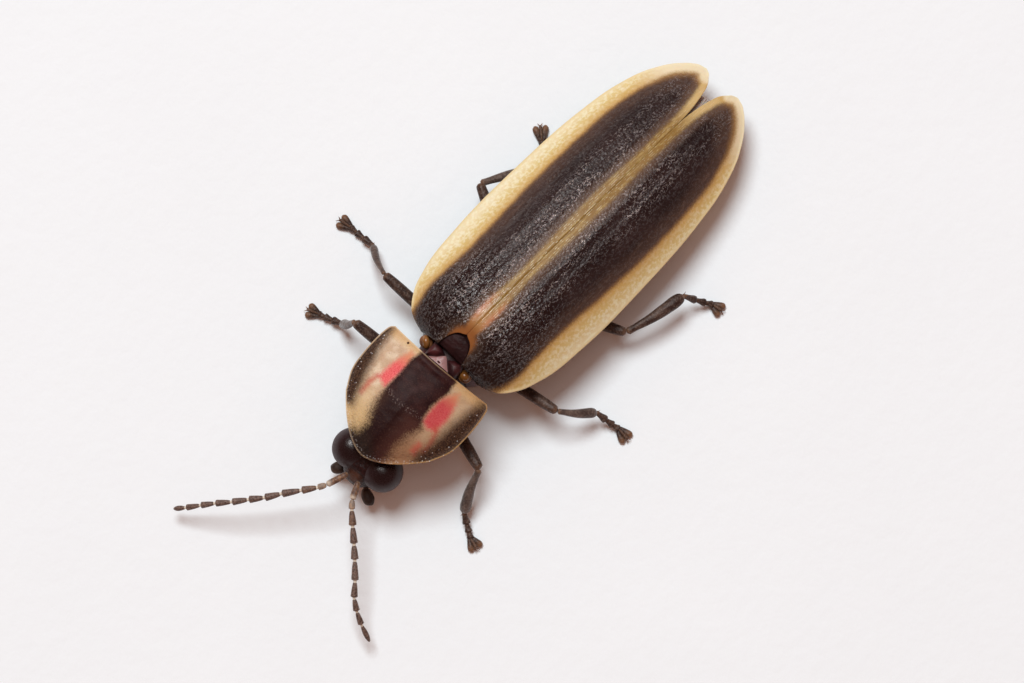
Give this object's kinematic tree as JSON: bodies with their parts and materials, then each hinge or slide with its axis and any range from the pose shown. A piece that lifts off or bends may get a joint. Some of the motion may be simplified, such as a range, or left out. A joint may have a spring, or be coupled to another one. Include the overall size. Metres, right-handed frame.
{
  "type": "firefly",
  "caption": "Life-size still firefly beetle standing on its feet, with long closed wing covers, a wide domed shield over its head, splayed legs and spread feelers.",
  "frame": {"origin": "on the floor under the middle of the bounding box", "axes": "head towards -Y, tail towards +Y, the animal's left side at +X, back towards +Z"},
  "size_m": [0.0104, 0.0192, 0.0031],
  "materials": {
    "dark_shell": "satin dark brown-black cuticle",
    "wing_cover": "dark brown cuticle with fine silvery hair and cream-yellow edges",
    "shield": "cream and tan cuticle with a dark middle stripe, dark side bands and two pink-red bars",
    "eye": "glossy black",
    "leg": "dark brown cuticle with fine hair",
    "feeler": "dull dark brown with pale joints",
    "belly": "dark brown cuticle",
    "lantern": "waxy pale yellow",
    "wing_membrane": "smoky folded membrane"
  },
  "bodies": {
    "root": {"head": "dark_shell", "mandible_left": "dark_shell", "mandible_right": "dark_shell", "prothorax": "dark_shell", "mesothorax": "dark_shell", "metathorax": "dark_shell", "scutellum": "dark_shell", "elytron_left": "wing_cover", "elytron_right": "wing_cover", "pronotum": "shield", "eye_left": "eye", "eye_right": "eye", "leg_front_left_coxa": "leg", "leg_front_left_femur": "leg", "leg_front_left_tibia": "leg", "leg_front_left_tarsus": "leg", "leg_front_right_coxa": "leg", "leg_front_right_femur": "leg", "leg_front_right_tibia": "leg", "leg_front_right_tarsus": "leg", "leg_middle_left_coxa": "leg", "leg_middle_left_femur": "leg", "leg_middle_left_tibia": "leg", "leg_middle_left_tarsus": "leg", "leg_middle_right_coxa": "leg", "leg_middle_right_femur": "leg", "leg_middle_right_tibia": "leg", "leg_middle_right_tarsus": "leg", "leg_hind_left_coxa": "leg", "leg_hind_left_femur": "leg", "leg_hind_left_tibia": "leg", "leg_hind_left_tarsus": "leg", "leg_hind_right_coxa": "leg", "leg_hind_right_femur": "leg", "leg_hind_right_tibia": "leg", "leg_hind_right_tarsus": "leg", "antenna_left": "feeler", "antenna_right": "feeler", "palp_left": "feeler", "palp_right": "feeler", "abdomen_1": "belly", "abdomen_2": "belly", "abdomen_3": "belly", "abdomen_4": "belly", "abdomen_7": "belly", "abdomen_5": "lantern", "abdomen_6": "lantern", "hindwing_left": "wing_membrane", "hindwing_right": "wing_membrane"}
  },
  "joints": []
}
